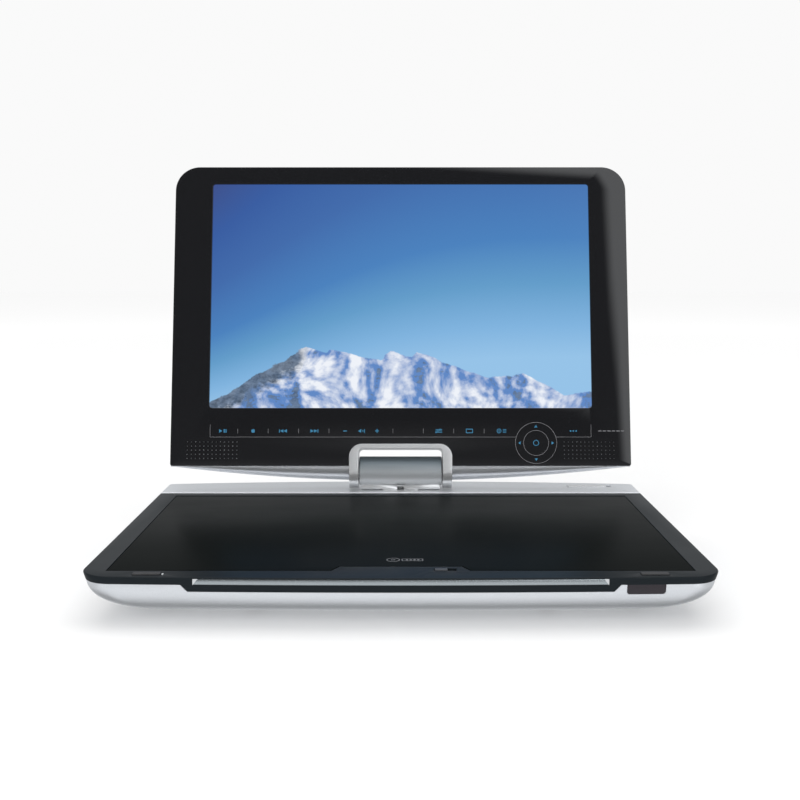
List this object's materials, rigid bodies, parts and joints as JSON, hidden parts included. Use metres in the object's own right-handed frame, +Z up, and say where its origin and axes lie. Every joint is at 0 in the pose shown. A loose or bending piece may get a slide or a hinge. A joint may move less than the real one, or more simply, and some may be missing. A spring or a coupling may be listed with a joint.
{
  "type": "portable dvd player",
  "caption": "Clamshell disc player with a wide screen on a swivel and tilt hinge, a hinged disc lid, slide switches, side sockets and a disc drive inside.",
  "frame": {"origin": "on the table under the middle of the open player's outer box", "axes": "+X to the viewer's right along the base's width, +Y to the back, +Z up"},
  "size_m": [0.2428, 0.2041, 0.1849],
  "materials": {
    "silver_case": "satin silver paint on moulded plastic",
    "black_deck": "gloss black",
    "bright_trim": "polished",
    "smoked": "dark window",
    "hatch": "satin grey",
    "soft_rubber": "matte",
    "steel": "plain",
    "black_plastic": "fine texture",
    "pcb": "solder mask",
    "chip": "matte",
    "cell": "sleeve",
    "gold_plastic": "plain",
    "led": "clear",
    "satin_metal": "satin",
    "dark_metal": "brushed",
    "screen": "gloss",
    "front_gloss": "gloss black",
    "acrylic": "clear",
    "lens": "coated",
    "grease_ring": "plain"
  },
  "bodies": {
    "base": {"bottom_case": "silver_case", "deck_frame": "black_deck", "hinge_strip": "silver_case", "finger_channel": "bright_trim", "ir_window": "smoked", "battery_cover": "hatch", "rubber_feet": "soft_rubber", "case_screws": "steel", "closing_pads": "soft_rubber", "disc_well": "black_plastic", "loader_plate": "steel", "loader_grommets": "soft_rubber", "spindle_motor": "steel", "guide_rods": "steel", "sled_motor": "steel", "main_board": "pcb", "board_chips": "chip", "board_shield": "steel", "battery_pack": "cell", "headphone_jack_front": "black_plastic", "headphone_jack_rear": "black_plastic", "av_jack": "gold_plastic", "power_jack": "black_plastic", "power_switch_body": "black_plastic", "lock_body": "black_plastic", "status_led": "led", "lid_hinge_pins": "steel", "swivel_plate": "steel", "swivel_screws": "steel", "swivel_washer": "grease_ring"},
    "lid": {"disc_lid": "black_deck"},
    "spindle": {"spindle_hub": "black_plastic", "disc_claws": "black_plastic", "spindle_shaft": "steel"},
    "sled": {"pickup_sled": "black_plastic", "pickup_lens": "lens"},
    "feed_screw": {"sled_screw": "steel"},
    "power_button": {"power_slider": "satin_metal"},
    "lid_lock": {"lock_slider": "black_plastic"},
    "swivel": {"swivel_post": "satin_metal", "swivel_retainer": "steel", "hinge_barrel": "dark_metal", "friction_washers": "steel"},
    "display": {"hinge_bracket": "satin_metal", "tilt_shaft": "steel", "front_panel": "front_gloss", "rear_cover": "silver_case", "lcd_panel": "screen", "lcd_frame": "steel", "light_guide": "acrylic", "backlight_bar": "acrylic", "inverter_board": "pcb", "touch_board": "pcb", "hinge_plate": "steel", "hinge_screws": "steel", "speaker_left": "black_plastic", "speaker_right": "black_plastic", "display_screws": "steel"}
  },
  "joints": [
    {"name": "swivel_turn", "type": "hinge", "parent": "base", "child": "swivel", "pos_m": [0, 0.05979, 0.0184], "axis": [0, 0, 1], "range_deg": [-180, 0]},
    {"name": "display_tilt", "type": "hinge", "parent": "swivel", "child": "display", "pos_m": [0, 0.05979, 0.0291], "axis": [-1, 0, 0], "range_deg": [-103.2, 76.8]},
    {"name": "lid_open", "type": "hinge", "parent": "base", "child": "lid", "pos_m": [0, 0.03829, 0.0155], "axis": [-1, 0, 0], "range_deg": [0, 70]},
    {"name": "lid_lock_slide", "type": "slide", "parent": "base", "child": "lid_lock", "axis": [1, 0, 0], "range_m": [0, 0.0032]},
    {"name": "power_slide", "type": "slide", "parent": "base", "child": "power_button", "axis": [1, 0, 0], "range_m": [0, 0.0025]},
    {"name": "spindle_turn", "type": "hinge", "parent": "base", "child": "spindle", "pos_m": [0, -0.02341, 0.0162], "axis": [0, 0, 1], "continuous": true},
    {"name": "sled_feed", "type": "slide", "parent": "base", "child": "sled", "axis": [1, 0, 0], "range_m": [0, 0.032]},
    {"name": "screw_turn", "type": "hinge", "parent": "base", "child": "feed_screw", "pos_m": [0.03, -0.04541, 0.009], "axis": [1, 0, 0], "range_deg": [0, 3850]}
  ],
  "couplings": [
    {"joint": "screw_turn", "follows": "sled_feed", "rad_per_m": 2094.4}
  ]
}
